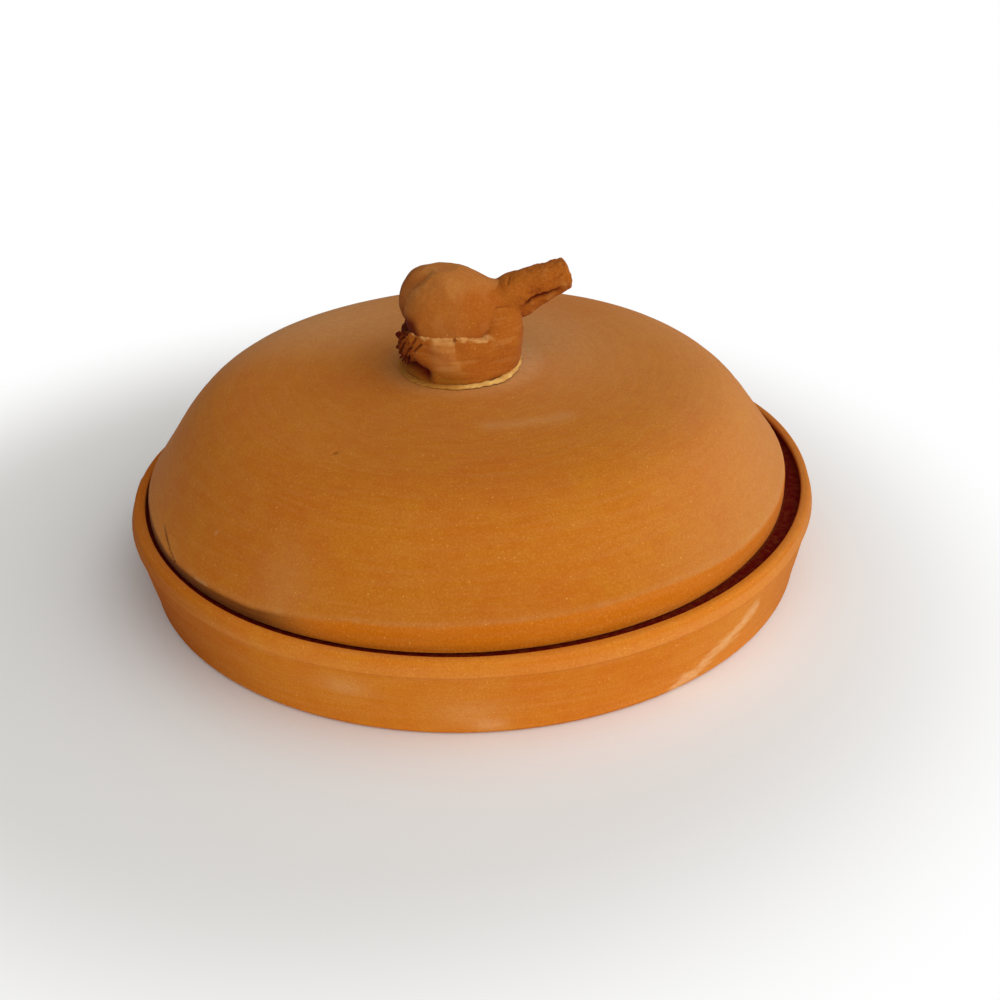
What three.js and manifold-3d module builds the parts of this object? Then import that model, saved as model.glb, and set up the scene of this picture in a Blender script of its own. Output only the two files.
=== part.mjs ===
// Terracotta garlic roaster: a shallow round dish with a gallery inside its rim, a domed lid that
// rests loose in the gallery, and a knob modelled by hand as a garlic bulb lying on its side.
// Millimetres, +Z up, origin under the middle of the dish, stem of the garlic towards +X.
import * as THREE from 'three';
import { mergeVertices } from 'three/addons/utils/BufferGeometryUtils.js';
import Module from 'manifold-3d';

// Dish
const RIM_RADIUS = 105; // widest line, just under the lip
const DISH_HEIGHT = 26.3;
const FOOT_RADIUS = 98.8; // where the wall meets the table
const FOOT_BEVEL = 1.2;
const LIP_HEIGHT = 4.6; // rim top down to the crease under the lip
const LIP_WIDTH = 3.1; // widest line in to the gallery wall
const LIP_LEAN = 0.4; // the lip's outside draws in to the rim
const LIP_ROUND = 0.8;
const CREASE_STEP = 0.5; // how far the lip stands out over the wall
const GALLERY_DEPTH = 2.6; // rim top down to the ledge
const GALLERY_FILLET = 0.8;
const LEDGE_WIDTH = 11; // seat of the lid, gallery wall in to the basin
const LEDGE_NOSE = 1.6; // rounding where the ledge turns down into the basin
const FLOOR_THICKNESS = 6.8;
const BASIN_DRAFT = 2.5; // how much the basin narrows from ledge to floor
const BASIN_FILLET = 7;

// Lid
const LID_PLAY = 3.5; // clearance to the gallery wall when the lid is centred
const LID_SEAT_GAP = 0.3;
const LID_REST_X = -0.29; // where the lid lies in its play, as shares of it
const LID_REST_Y = 0.57;
const LID_EDGE_ROUND = 0.8;
const LID_BAND_HEIGHT = 6.9; // leaning band from the edge to the shoulder line
const LID_BAND_TAPER = 1.4; // the band draws in to the shoulder line
const LID_RISE = 29.6; // shoulder line up to the crown
const LID_WALL = 6;
const FLANK_LEAN = THREE.MathUtils.degToRad(35); // flank from the upright, at the shoulder
const FLANK_PULL = 1.16; // length of the curve's handle on the flank, over the rise
const CROWN_PULL = 0.866; // length of its handle on the crown, over the shoulder's radius

// Knob
const KNOB_OFFSET_X = -1; // the knob was set a little off the lid's axis
const KNOB_OFFSET_Y = 1;
const LUTE_GAP = 0.3; // joint between two lumps of the knob
const BULB_RADIUS = 15.7;
const BULB_HEIGHT = 16.3; // middle of the bulb above the crown
const BULB_OFFSET_X = -2; // middle of the bulb from the knob's own axis
const BULB_TILT = THREE.MathUtils.degToRad(16.5); // stem end up
const BULB_TURN = THREE.MathUtils.degToRad(8); // stem end back
const ROOT_DIMPLE = 1.6; // hollow at the root end of the bulb
const ROOT_FULLNESS = 0.72; // handles of the bulb's curve, over its radius
const ROOT_DROP = 1.08;
const BELLY_FULLNESS = 0.5;
const SHOULDER_FULLNESS = 0.55; // handles of the neck's curve, over its length
const NECK_DRAW = 0.7;
const NECK_RADIUS = 6.6;
const NECK_LENGTH = 16.5; // middle of the bulb to the end of its neck
const CLOVES = 4;
const CLOVE_TURN = THREE.MathUtils.degToRad(180); // first groove, round the bulb's axis
const GROOVE_DEPTH = 2.2;
const GROOVE_SHARPNESS = 5; // higher is narrower
const BASE_LIP = 2; // wall of the knob's base outside the bulb
const BASE_HEIGHT = 16; // the base's rounded shoulder ends here, about level round the bulb
const BASE_BELLY = 8; // widest level of the base above the crown
const BASE_FULLNESS = 0.95; // handle of the shoulder's curve, over the base's radius
const BASE_FLOOR = 4; // clay left under the bulb
const BASE_FOOT_INSET = 1; // the base draws in to its foot
const SLIP_WIDTH = 3.2;
const SLIP_HEIGHT = 2.2;
const STEM_LENGTH = 19.5;
const STEM_BASE_RADIUS = 6.3;
const STEM_END_RADIUS = 4.5;
const STEM_END_ROUND = 1.4;
const STEM_RUNOUT_SHARE = 0.4; // share of the stem where its foot has half run out
const STEM_FLAT_RATIO = 0.8; // depth of the stem's section over its height
const STEM_RIDGES = 5;
const STEM_RIDGE_DEPTH = 0.45;
const STEM_TWIST = THREE.MathUtils.degToRad(95); // turn of the ridges from the neck to the stem's end
const ROOT_RADIUS = 6;
const ROOT_PROUD = 1.9; // root tuft stands out of the base
const ROOT_SUNK = 2;
const ROOT_HEIGHT = 7.6; // middle of the tuft above the crown
const ROOT_TURN = THREE.MathUtils.degToRad(208); // side of the base that the tuft lies on
const ROOT_STRANDS = 8;
const ROOT_SLASH_DEPTH = 0.7;

// Facets
const DISH_SEGMENTS = 72;
const KNOB_SEGMENTS = 40;
const DOME_STEPS = 11;
const FILLET_STEPS = 3;
const BULB_STEPS = 8;

// Sizes that follow
const galleryRadius = RIM_RADIUS - LIP_WIDTH;
const ledgeHeight = DISH_HEIGHT - GALLERY_DEPTH;
const ledgeInner = galleryRadius - LEDGE_WIDTH;
const lidRadius = galleryRadius - LID_PLAY;
const lidEdge = ledgeHeight + LID_SEAT_GAP;
const shoulderRadius = lidRadius - LID_BAND_TAPER;
const shoulderHeight = lidEdge + LID_BAND_HEIGHT;
const crown = shoulderHeight + LID_RISE;
const baseRadius = BULB_RADIUS + LUTE_GAP + BASE_LIP;
const footRadius = baseRadius - BASE_FOOT_INSET;

const wasm = await Module();
wasm.setup();

// Colours of the fired clay
const dishClay = new THREE.MeshStandardMaterial({ color: 0xc9783a, roughness: 0.88, metalness: 0 });
const lidClay = new THREE.MeshStandardMaterial({ color: 0xb96f31, roughness: 0.9, metalness: 0 });
const knobClay = new THREE.MeshStandardMaterial({ color: 0xa65f2c, roughness: 0.88, metalness: 0 });
const paleSlip = new THREE.MeshStandardMaterial({ color: 0xc2914e, roughness: 0.94, metalness: 0 });

// A round piece from its half outline, listed up its outer side.
function revolve(outline, segments) {
  return new THREE.LatheGeometry(outline, segments).rotateX(Math.PI / 2);
}

// Moves every point of a round piece out or in: reach gives the new radius for an angle, radius and height.
function mould(geometry, reach) {
  const position = geometry.attributes.position;
  for (let i = 0; i < position.count; i += 1) {
    const x = position.getX(i);
    const y = position.getY(i);
    const radius = Math.hypot(x, y);
    const angle = Math.atan2(y, x);
    const moved = reach(angle, radius, position.getZ(i));
    position.setXY(i, moved * Math.cos(angle), moved * Math.sin(angle));
  }
  return geometry;
}

// A half outline moved outwards by a gap; its ends stay on the axis.
function swell(outline, gap) {
  return outline.map((point, i) => {
    const before = outline[Math.max(i - 1, 0)];
    const after = outline[Math.min(i + 1, outline.length - 1)];
    const along = after.clone().sub(before).normalize();
    const radius = point.x === 0 ? 0 : point.x + gap * along.y;
    return new THREE.Vector2(radius, point.y - gap * along.x);
  });
}

// A closed geometry as a solid for joins and cuts.
function solid(geometry) {
  const bare = geometry.clone();
  bare.deleteAttribute('normal');
  bare.deleteAttribute('uv');
  const merged = mergeVertices(bare);
  const corners = merged.index.array;
  const kept = [];
  for (let i = 0; i < corners.length; i += 3) {
    const [a, b, c] = corners.subarray(i, i + 3);
    if (a !== b && b !== c && c !== a) {
      kept.push(a, b, c);
    }
  }
  return new wasm.Manifold(new wasm.Mesh({
    numProp: 3,
    vertProperties: new Float32Array(merged.attributes.position.array),
    triVerts: new Uint32Array(kept),
  }));
}

// A solid back as a geometry.
function shape(body) {
  const mesh = body.getMesh();
  const geometry = new THREE.BufferGeometry();
  geometry.setAttribute('position', new THREE.BufferAttribute(new Float32Array(mesh.vertProperties), 3));
  geometry.setIndex(new THREE.BufferAttribute(new Uint32Array(mesh.triVerts), 1));
  geometry.computeVertexNormals();
  return geometry;
}

function piece(name, geometry, material) {
  const mesh = new THREE.Mesh(geometry, material);
  mesh.name = name;
  return mesh;
}

// Dish: bevelled foot, leaning wall, flat-topped lip, gallery with the lid's seat, and the basin.
function makeDish() {
  const lipBase = DISH_HEIGHT - LIP_HEIGHT;
  const lipTop = RIM_RADIUS - LIP_LEAN;
  const basinRadius = ledgeInner - BASIN_DRAFT;
  const outline = new THREE.Path();
  outline.moveTo(0, 0);
  outline.lineTo(FOOT_RADIUS - FOOT_BEVEL, 0);
  outline.lineTo(FOOT_RADIUS, FOOT_BEVEL);
  outline.lineTo(RIM_RADIUS - CREASE_STEP, lipBase - CREASE_STEP);
  outline.lineTo(RIM_RADIUS, lipBase);
  outline.lineTo(lipTop, DISH_HEIGHT - LIP_ROUND);
  outline.quadraticCurveTo(lipTop, DISH_HEIGHT, lipTop - LIP_ROUND, DISH_HEIGHT);
  outline.lineTo(galleryRadius + LIP_ROUND, DISH_HEIGHT);
  outline.quadraticCurveTo(galleryRadius, DISH_HEIGHT, galleryRadius, DISH_HEIGHT - LIP_ROUND);
  outline.lineTo(galleryRadius, ledgeHeight + GALLERY_FILLET);
  outline.quadraticCurveTo(galleryRadius, ledgeHeight, galleryRadius - GALLERY_FILLET, ledgeHeight);
  outline.lineTo(ledgeInner + LEDGE_NOSE, ledgeHeight);
  outline.quadraticCurveTo(ledgeInner, ledgeHeight, ledgeInner, ledgeHeight - LEDGE_NOSE);
  outline.lineTo(basinRadius, FLOOR_THICKNESS + BASIN_FILLET);
  outline.quadraticCurveTo(basinRadius, FLOOR_THICKNESS, basinRadius - BASIN_FILLET, FLOOR_THICKNESS);
  outline.lineTo(0, FLOOR_THICKNESS);
  return revolve(outline.getPoints(FILLET_STEPS), DISH_SEGMENTS);
}

// Half of the dome's curve, from a shoulder point up a leaning flank to a level crown.
function domeCurve(radius, top) {
  const pull = FLANK_PULL * (top - shoulderHeight);
  return new THREE.CubicBezierCurve(
    new THREE.Vector2(radius, shoulderHeight),
    new THREE.Vector2(radius - pull * Math.sin(FLANK_LEAN), shoulderHeight + pull * Math.cos(FLANK_LEAN)),
    new THREE.Vector2(CROWN_PULL * radius, top),
    new THREE.Vector2(0, top),
  );
}

// Lid: flat seating edge, leaning band, crisp shoulder line and dome, with an even wall.
function makeLid() {
  const inside = domeCurve(shoulderRadius - LID_WALL, crown - LID_WALL).getPoints(DOME_STEPS).reverse();
  const outside = domeCurve(shoulderRadius, crown).getPoints(DOME_STEPS);
  const edge = new THREE.Path();
  edge.moveTo(lidRadius - LID_WALL, lidEdge);
  edge.lineTo(lidRadius - LID_EDGE_ROUND, lidEdge);
  edge.quadraticCurveTo(lidRadius, lidEdge, lidRadius, lidEdge + LID_EDGE_ROUND);
  return revolve([...inside, ...edge.getPoints(FILLET_STEPS), ...outside], DISH_SEGMENTS);
}

// Places a piece made round +Z so that +Z runs from the bulb's root to its stem.
function alongStem(geometry) {
  geometry.rotateY(Math.PI / 2 - BULB_TILT);
  geometry.rotateZ(BULB_TURN);
  return geometry.translate(BULB_OFFSET_X, 0, BULB_HEIGHT);
}

// Bulb: a round belly that draws in to the neck, with a groove between each two cloves. The grooves
// are deepest at the belly and run out at the root and the neck.
function bulbBody(gap) {
  const belly = new THREE.CubicBezierCurve(
    new THREE.Vector2(0, ROOT_DIMPLE - BULB_RADIUS),
    new THREE.Vector2(BULB_RADIUS * ROOT_FULLNESS, -BULB_RADIUS * ROOT_DROP),
    new THREE.Vector2(BULB_RADIUS, -BULB_RADIUS * BELLY_FULLNESS),
    new THREE.Vector2(BULB_RADIUS, 0),
  );
  const neck = new THREE.CubicBezierCurve(
    new THREE.Vector2(BULB_RADIUS, 0),
    new THREE.Vector2(BULB_RADIUS, NECK_LENGTH * SHOULDER_FULLNESS),
    new THREE.Vector2(NECK_RADIUS, NECK_LENGTH * NECK_DRAW),
    new THREE.Vector2(NECK_RADIUS, NECK_LENGTH),
  );
  const outline = [...belly.getPoints(BULB_STEPS), ...neck.getPoints(BULB_STEPS).slice(1)];
  outline.push(new THREE.Vector2(0, NECK_LENGTH));
  const geometry = mould(revolve(swell(outline, gap), KNOB_SEGMENTS), (angle, radius) => {
    const between = Math.abs(Math.cos((CLOVES * (angle - CLOVE_TURN)) / 2));
    const depth = GROOVE_DEPTH * between ** GROOVE_SHARPNESS;
    const share = Math.max(radius - NECK_RADIUS - gap, 0) / (BULB_RADIUS - NECK_RADIUS);
    return radius - depth * share;
  });
  return solid(alongStem(geometry));
}

// The bulb was pressed flat on the clay below it: all of it under this level is taken off.
function underBulb(level) {
  const reach = 4 * BULB_RADIUS;
  const block = new THREE.BoxGeometry(reach, reach, reach);
  return solid(block.translate(0, 0, level - reach / 2));
}

// Stem: a rolled stub of clay with twisted ridges and a blunt end, flatter than it is tall.
function stemBody(gap) {
  const outline = new THREE.Path();
  outline.moveTo(0, 0);
  outline.lineTo(STEM_BASE_RADIUS, 0);
  outline.splineThru([
    new THREE.Vector2((STEM_BASE_RADIUS + STEM_END_RADIUS) / 2, STEM_LENGTH * STEM_RUNOUT_SHARE),
    new THREE.Vector2(STEM_END_RADIUS, STEM_LENGTH - STEM_END_ROUND),
  ]);
  outline.quadraticCurveTo(STEM_END_RADIUS, STEM_LENGTH, STEM_END_RADIUS - STEM_END_ROUND, STEM_LENGTH);
  outline.lineTo(0, STEM_LENGTH);
  const profile = swell(outline.getPoints(FILLET_STEPS), gap);
  const geometry = mould(revolve(profile, KNOB_SEGMENTS), (angle, radius, along) => {
    const ridge = STEM_RIDGE_DEPTH * Math.cos(STEM_RIDGES * (angle + (STEM_TWIST * along) / STEM_LENGTH));
    const oval = 1 / Math.hypot(Math.cos(angle), Math.sin(angle) / STEM_FLAT_RATIO);
    return radius === 0 ? 0 : oval * radius * (1 + ridge / STEM_BASE_RADIUS);
  });
  return solid(alongStem(geometry.translate(0, 0, NECK_LENGTH + LUTE_GAP - gap)));
}

// Root tuft: a low button of clay on the base's side, slashed with a knife into strands.
function rootBody(gap) {
  const outline = new THREE.Path();
  outline.moveTo(0, -ROOT_SUNK);
  outline.lineTo(ROOT_RADIUS, -ROOT_SUNK);
  outline.lineTo(ROOT_RADIUS, 0);
  outline.quadraticCurveTo(ROOT_RADIUS, ROOT_PROUD, 0, ROOT_PROUD);
  const profile = swell(outline.getPoints(BULB_STEPS), gap);
  const geometry = mould(revolve(profile, KNOB_SEGMENTS), (angle, radius) => {
    const slash = Math.abs(Math.cos((ROOT_STRANDS * angle) / 2)) ** GROOVE_SHARPNESS;
    return radius * (1 - (ROOT_SLASH_DEPTH * slash) / ROOT_RADIUS);
  });
  geometry.rotateY(Math.PI / 2);
  geometry.translate(baseRadius - BASE_FOOT_INSET / 2, 0, ROOT_HEIGHT);
  return solid(geometry.rotateZ(ROOT_TURN));
}

// The notch in the base's side that the tuft lies in, open above it.
function rootNotch() {
  const tuft = rootBody(LUTE_GAP);
  return wasm.Manifold.hull([tuft, tuft.translate([0, 0, BASE_HEIGHT])]);
}

// Base of the knob: a bun of clay, drawn in at its foot, that the bulb is pressed into.
function baseBody(gap) {
  const outline = new THREE.Path();
  outline.moveTo(0, LUTE_GAP);
  outline.lineTo(footRadius, LUTE_GAP);
  outline.quadraticCurveTo(baseRadius, BASE_BELLY / 2, baseRadius, BASE_BELLY);
  outline.bezierCurveTo(
    baseRadius, BASE_HEIGHT,
    baseRadius * BASE_FULLNESS, BASE_HEIGHT,
    0, BASE_HEIGHT,
  );
  return solid(revolve(swell(outline.getPoints(BULB_STEPS), gap), KNOB_SEGMENTS));
}

// Slip: the low ridge of wet clay brushed into the corner round the foot of the base.
function slipBody() {
  const outer = footRadius + SLIP_WIDTH;
  const outline = new THREE.Path();
  outline.moveTo(footRadius, LUTE_GAP);
  outline.lineTo(outer, LUTE_GAP);
  outline.quadraticCurveTo(footRadius + SLIP_WIDTH / 2, SLIP_HEIGHT / 2, footRadius, LUTE_GAP + SLIP_HEIGHT);
  outline.lineTo(footRadius, LUTE_GAP);
  return solid(revolve(outline.getPoints(FILLET_STEPS), KNOB_SEGMENTS));
}

// The knob's lumps, each cut to lie against the ones pressed on before it.
function makeKnob() {
  const bulbBed = bulbBody(LUTE_GAP).subtract(underBulb(BASE_FLOOR));
  const bulb = bulbBody(0).subtract(underBulb(BASE_FLOOR + LUTE_GAP));
  const stem = stemBody(0).subtract(bulbBody(LUTE_GAP));
  const root = rootBody(0).subtract(bulbBody(LUTE_GAP));
  const stemBed = stemBody(LUTE_GAP / STEM_FLAT_RATIO);
  const base = baseBody(0).subtract(bulbBed).subtract(stemBed).subtract(rootNotch());
  const slip = slipBody().subtract(baseBody(LUTE_GAP)).subtract(rootBody(LUTE_GAP));
  const knob = new THREE.Group();
  knob.add(
    piece('knob_base', shape(base), knobClay),
    piece('slip_ring', shape(slip), paleSlip),
    piece('garlic_bulb', shape(bulb), knobClay),
    piece('garlic_stem', shape(stem), knobClay),
    piece('root_tuft', shape(root), knobClay),
  );
  knob.position.set(KNOB_OFFSET_X, KNOB_OFFSET_Y, crown);
  return knob;
}

const lid = new THREE.Group();
lid.add(piece('lid_dome', makeLid(), lidClay), makeKnob());
lid.position.set(LID_REST_X * LID_PLAY, LID_REST_Y * LID_PLAY, 0);

const roaster = new THREE.Group();
roaster.add(piece('dish', makeDish(), dishClay), lid);

export default roaster;
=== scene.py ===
# %% [markdown]
# # A terracotta garlic roaster
# The real object is a shallow clay dish, a loose domed lid and a knob that a potter modelled by hand
# as a garlic bulb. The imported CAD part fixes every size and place. This lesson dresses it: each piece is
# a surface that numpy works out on a grid, and each finish is a tree of shader nodes.

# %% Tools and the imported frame
import math

import bpy
import numpy as np
from mathutils import Matrix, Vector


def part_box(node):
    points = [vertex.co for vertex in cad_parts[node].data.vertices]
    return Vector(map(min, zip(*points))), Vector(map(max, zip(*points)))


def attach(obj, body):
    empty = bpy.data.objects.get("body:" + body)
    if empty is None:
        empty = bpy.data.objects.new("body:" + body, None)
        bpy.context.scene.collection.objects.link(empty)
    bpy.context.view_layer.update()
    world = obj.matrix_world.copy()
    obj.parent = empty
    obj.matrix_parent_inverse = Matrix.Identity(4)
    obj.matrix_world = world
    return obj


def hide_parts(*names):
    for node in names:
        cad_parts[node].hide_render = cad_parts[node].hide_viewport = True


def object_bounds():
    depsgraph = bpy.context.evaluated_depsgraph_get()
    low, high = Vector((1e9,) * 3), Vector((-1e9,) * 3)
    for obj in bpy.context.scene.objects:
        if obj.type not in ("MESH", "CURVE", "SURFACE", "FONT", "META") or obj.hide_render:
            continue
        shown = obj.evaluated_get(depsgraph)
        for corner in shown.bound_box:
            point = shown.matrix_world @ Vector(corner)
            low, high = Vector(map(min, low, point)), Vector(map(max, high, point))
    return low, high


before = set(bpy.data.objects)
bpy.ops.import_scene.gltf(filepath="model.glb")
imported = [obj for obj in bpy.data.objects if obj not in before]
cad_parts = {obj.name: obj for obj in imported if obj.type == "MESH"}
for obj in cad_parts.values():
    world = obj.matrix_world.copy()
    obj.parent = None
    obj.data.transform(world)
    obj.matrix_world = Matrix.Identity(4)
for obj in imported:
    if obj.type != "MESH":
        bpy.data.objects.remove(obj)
cad_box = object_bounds()
print("nodes in the frame:", sorted(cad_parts))

# %% [markdown]
# ## Sizes
# Lengths are worked out in millimetres and turned into metres only when a mesh is filled. The frame gives
# the rim, the lid's axis, the crown and the knob's axis, so a piece can't drift from its solid. The other
# sizes are the potter's: lips, ledges and walls.

# %% Sizes that the frame gives
MM = 0.001


def box_mm(node):
    """Lowest and highest corner of a CAD node in millimetres."""
    return [np.array(corner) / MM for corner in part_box(node)]


dish_low, dish_high = box_mm("dish")
lid_low, lid_high = box_mm("lid_dome")
base_low, base_high = box_mm("knob_base")
rim_radius = dish_high[0]
dish_height = dish_high[2]
lid_axis = (lid_low + lid_high)[:2] / 2
lid_radius = (lid_high - lid_low)[0] / 2
lid_edge = lid_low[2]
crown = lid_high[2]
knob_axis = (base_low + base_high)[:2] / 2
highest = cad_box[1][2] / MM - 0.05  # the knob stays below this
print("rim radius", rim_radius.round(2), "crown", crown.round(2), "knob axis", knob_axis.round(2))

# %% [markdown]
# ## Camera
# The photograph was taken from a little above, so the lid's top shows as a flat oval. The focal length,
# the distance and the pixel that the camera's aim falls on were fitted to the rim, the foot and the lid's
# edge in the photograph, and the camera is built from them with a few lines of vector algebra.

# %% Camera
PHOTO_SIZE = 1000  # pixels
FOCAL_PIXELS = 1500
SENSOR_WIDTH = 36
AIM = np.array([0, 0, 20])  # a point on the dish's axis
AIM_PIXEL = np.array([472.454, 484.169])
AIM_DISTANCE = 472.3
LOOK_DOWN = math.radians(29.619)
ROLL = math.radians(1.778)


def add_camera():
    """Camera from a pixel and a distance: its forward, right and down directions are tilted and rolled, and
    it stands back from the aim along the ray through the aim's pixel."""
    forward = np.array([0, math.cos(LOOK_DOWN), -math.sin(LOOK_DOWN)])
    level = np.array([1, 0, 0])
    under = np.cross(forward, level)
    right = level * math.cos(ROLL) + under * math.sin(ROLL)
    down = under * math.cos(ROLL) - level * math.sin(ROLL)
    ray = np.append((AIM_PIXEL - PHOTO_SIZE / 2) / FOCAL_PIXELS, 1)
    ray /= np.linalg.norm(ray)
    place = AIM - AIM_DISTANCE * (ray @ np.array([right, down, forward]))
    data = bpy.data.cameras.new("camera")
    data.sensor_width = SENSOR_WIDTH
    data.lens = SENSOR_WIDTH * FOCAL_PIXELS / PHOTO_SIZE
    camera = bpy.data.objects.new("camera", data)
    bpy.context.scene.collection.objects.link(camera)
    turned = np.eye(4)
    turned[:3, :3] = np.array([right, -down, -forward]).T
    turned[:3, 3] = place * MM
    camera.matrix_world = Matrix(turned.tolist())
    bpy.context.scene.camera = camera
    return place


print("camera at", add_camera().round(1), "mm")

# %% [markdown]
# ## Shader maths
# A finish is a sum of masks, so it should read like one. The class below wraps a socket: plus, minus and
# times add Math nodes, and one method adds any other node. Colours are mixed with Mix nodes.

# %% A socket that can be calculated with


class Wire:
    """One output of a shader node. Arithmetic on it adds Math nodes."""

    def __init__(self, tree, socket):
        self.tree = tree
        self.socket = socket

    def node(self, kind, settings, sockets, out=0):
        """Any node: its settings are set first, then each socket gets its value or link."""
        made = self.tree.nodes.new(kind)
        for key, value in settings.items():
            setattr(made, key, value)
        for key, value in sockets.items():
            if isinstance(value, Wire):
                self.tree.links.new(value.socket, made.inputs[key])
            else:
                made.inputs[key].default_value = value
        return Wire(self.tree, made.outputs[out] if made.outputs else None)

    def math(self, operation, *values):
        return self.node("ShaderNodeMath", {"operation": operation}, dict(enumerate(values)))

    def vector(self, operation, *values, out=0):
        return self.node("ShaderNodeVectorMath", {"operation": operation}, dict(enumerate(values)), out)

    def __add__(self, other):
        return self.math("ADD", self, other)

    def __sub__(self, other):
        return self.math("SUBTRACT", self, other)

    def __rsub__(self, other):
        return self.math("SUBTRACT", other, self)

    def __mul__(self, other):
        return self.math("MULTIPLY", self, other)

    __radd__ = __add__
    __rmul__ = __mul__

    def step(self, low, high):
        """Smooth step: 0 below low, 1 above high."""
        sockets = {"Value": self, "From Min": low, "From Max": high}
        return self.node("ShaderNodeMapRange", {"interpolation_type": "SMOOTHSTEP"}, sockets)

    def towards(self, colour, share):
        """This colour mixed towards another by a share."""
        return self.node("ShaderNodeMix", {"data_type": "RGBA"}, {0: share, 6: self, 7: colour}, out=2)

    def noise(self, scale, detail=2.0, rough=0.5):
        """Cloudy noise on this vector; scale counts its lumps per metre."""
        sockets = {"Vector": self, "Scale": scale, "Detail": detail, "Roughness": rough}
        return self.node("ShaderNodeTexNoise", {}, sockets)


def shade(red, green, blue):
    """Linear colour of a display colour from 0 to 255."""
    part = np.array([red, green, blue]) / 255
    linear = np.where(part > 0.04045, ((part + 0.055) / 1.055) ** 2.4, part / 12.92)
    return (*linear.tolist(), 1.0)


print("a middle grey is", shade(188, 188, 188)[0])

# %% [markdown]
# ## Studio
# The light in the photograph is soft and comes mostly from the right and the front: the right of the lid
# is twice as bright as its left, the flanks are brighter than the crown, and no shadow has a sharp edge. A
# world that fades from a bright side to a dim side gives that without a lamp. The floor is plain and pale,
# and where the camera or a mirror looks at it further out, it is plain white.

# %% World and floor
SKY_LEVEL = 0.944  # mean light
SKY_LEAN = (1.04, -0.88, -0.24)  # how much more comes from the right, the front and below
SKY_LEAST = 0.016  # light from the dimmest side
FLOOR_REACH = 4.0  # metres
FLOOR_PAINT = (236, 235, 232)
WHITE_CENTRE = (-0.035, -0.015, 0)  # the soft shadow lies to the left and front
WHITE_NEAR = 0.13  # metres from that centre where the floor starts to turn white
WHITE_FAR = 0.22

scene = bpy.context.scene
scene.view_settings.view_transform = "Standard"


def seen(start):
    """1 for a ray that shows a surface, straight or by a mirror or glass, and 0 for one that only lights."""
    rays = [start.node("ShaderNodeLightPath", {}, {}, out=f"Is {kind} Ray")
            for kind in ("Camera", "Glossy", "Transmission")]
    return rays[0] + rays[1] + rays[2]


def light_world():
    """World light = mean level + lean · direction, never under the least; plain white where it is seen."""
    world = bpy.data.worlds.new("studio")
    world.use_nodes = True
    tree = world.node_tree
    tree.nodes.clear()
    start = Wire(tree, None)
    towards = start.node("ShaderNodeTexCoord", {}, {})
    level = towards.vector("DOT_PRODUCT", towards, SKY_LEAN, out=1) + SKY_LEVEL
    level = level.math("MAXIMUM", level, SKY_LEAST)
    light, white = [
        start.node("ShaderNodeBackground", {}, {"Color": (1, 1, 1, 1), "Strength": strength})
        for strength in (level, 1.0)
    ]
    shown = start.node("ShaderNodeMixShader", {}, {0: seen(start), 1: light, 2: white})
    start.node("ShaderNodeOutputWorld", {}, {"Surface": shown})
    scene.world = world


def lay_floor():
    """A square floor; its share of white = smooth step of the distance from the shadow's centre."""
    corner = FLOOR_REACH
    mesh = bpy.data.meshes.new("floor")
    mesh.from_pydata(
        [(-corner, -corner, 0), (corner, -corner, 0), (corner, corner, 0), (-corner, corner, 0)],
        [], [(0, 1, 2, 3)],
    )
    floor = bpy.data.objects.new("floor", mesh)
    scene.collection.objects.link(floor)
    paint = bpy.data.materials.new("pale_floor")
    paint.use_nodes = True
    tree = paint.node_tree
    tree.nodes.clear()
    start = Wire(tree, None)
    place = start.node("ShaderNodeTexCoord", {}, {}, out=3)
    away = place.vector("DISTANCE", place, WHITE_CENTRE, out=1)
    white = seen(start) * away.step(WHITE_NEAR, WHITE_FAR)
    matte = start.node("ShaderNodeBsdfDiffuse", {}, {"Color": shade(*FLOOR_PAINT)})
    glow = start.node("ShaderNodeEmission", {}, {"Strength": 1.0})
    shown = start.node("ShaderNodeMixShader", {}, {0: white, 1: matte, 2: glow})
    start.node("ShaderNodeOutputMaterial", {}, {"Surface": shown})
    mesh.materials.append(paint)


light_world()
lay_floor()
print("floor reaches", FLOOR_REACH, "m")

# %% [markdown]
# ## Surfaces from grids
# A thrown pot is an outline carried round an axis, and a hand-made lump is the same with the points pushed
# in and out. So every piece here is a grid of rows and columns: the rows follow the outline, the columns
# go round. A few helpers make outlines with rounded corners, seeded unevenness, and the mesh itself.

# %% Helpers for grids
POLE = 3.0  # radius in millimetres where a round piece's middle is closed with a fan


def place_row(points):
    """A list of rows of numbers as an array."""
    return np.array(points, float)


def even(points, count, crowd=1.0):
    """The same line with points at equal steps: its length is measured and shared out evenly, or by a power
    of the share, so that the points crowd at the start."""
    gone = np.append(0, np.cumsum(np.linalg.norm(np.diff(points, axis=0), axis=1)))
    at = gone[-1] * np.linspace(0, 1, count) ** crowd
    return np.stack([np.interp(at, gone, points[:, k]) for k in range(points.shape[1])], -1)


def bezier(points, count=200):
    """Cubic curve of four control points: each is weighed with its Bernstein share."""
    t = np.linspace(0, 1, count)[:, None]
    a, b, c, d = place_row(points)
    return (1 - t) ** 3 * a + 3 * t * (1 - t) ** 2 * b + 3 * t ** 2 * (1 - t) * c + t ** 3 * d


def arch(share, start, corner, end):
    """Quadratic curve at a share of its run: start, corner and end weighed with their Bernstein shares."""
    return (1 - share) ** 2 * start + 2 * share * (1 - share) * corner + share ** 2 * end


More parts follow.
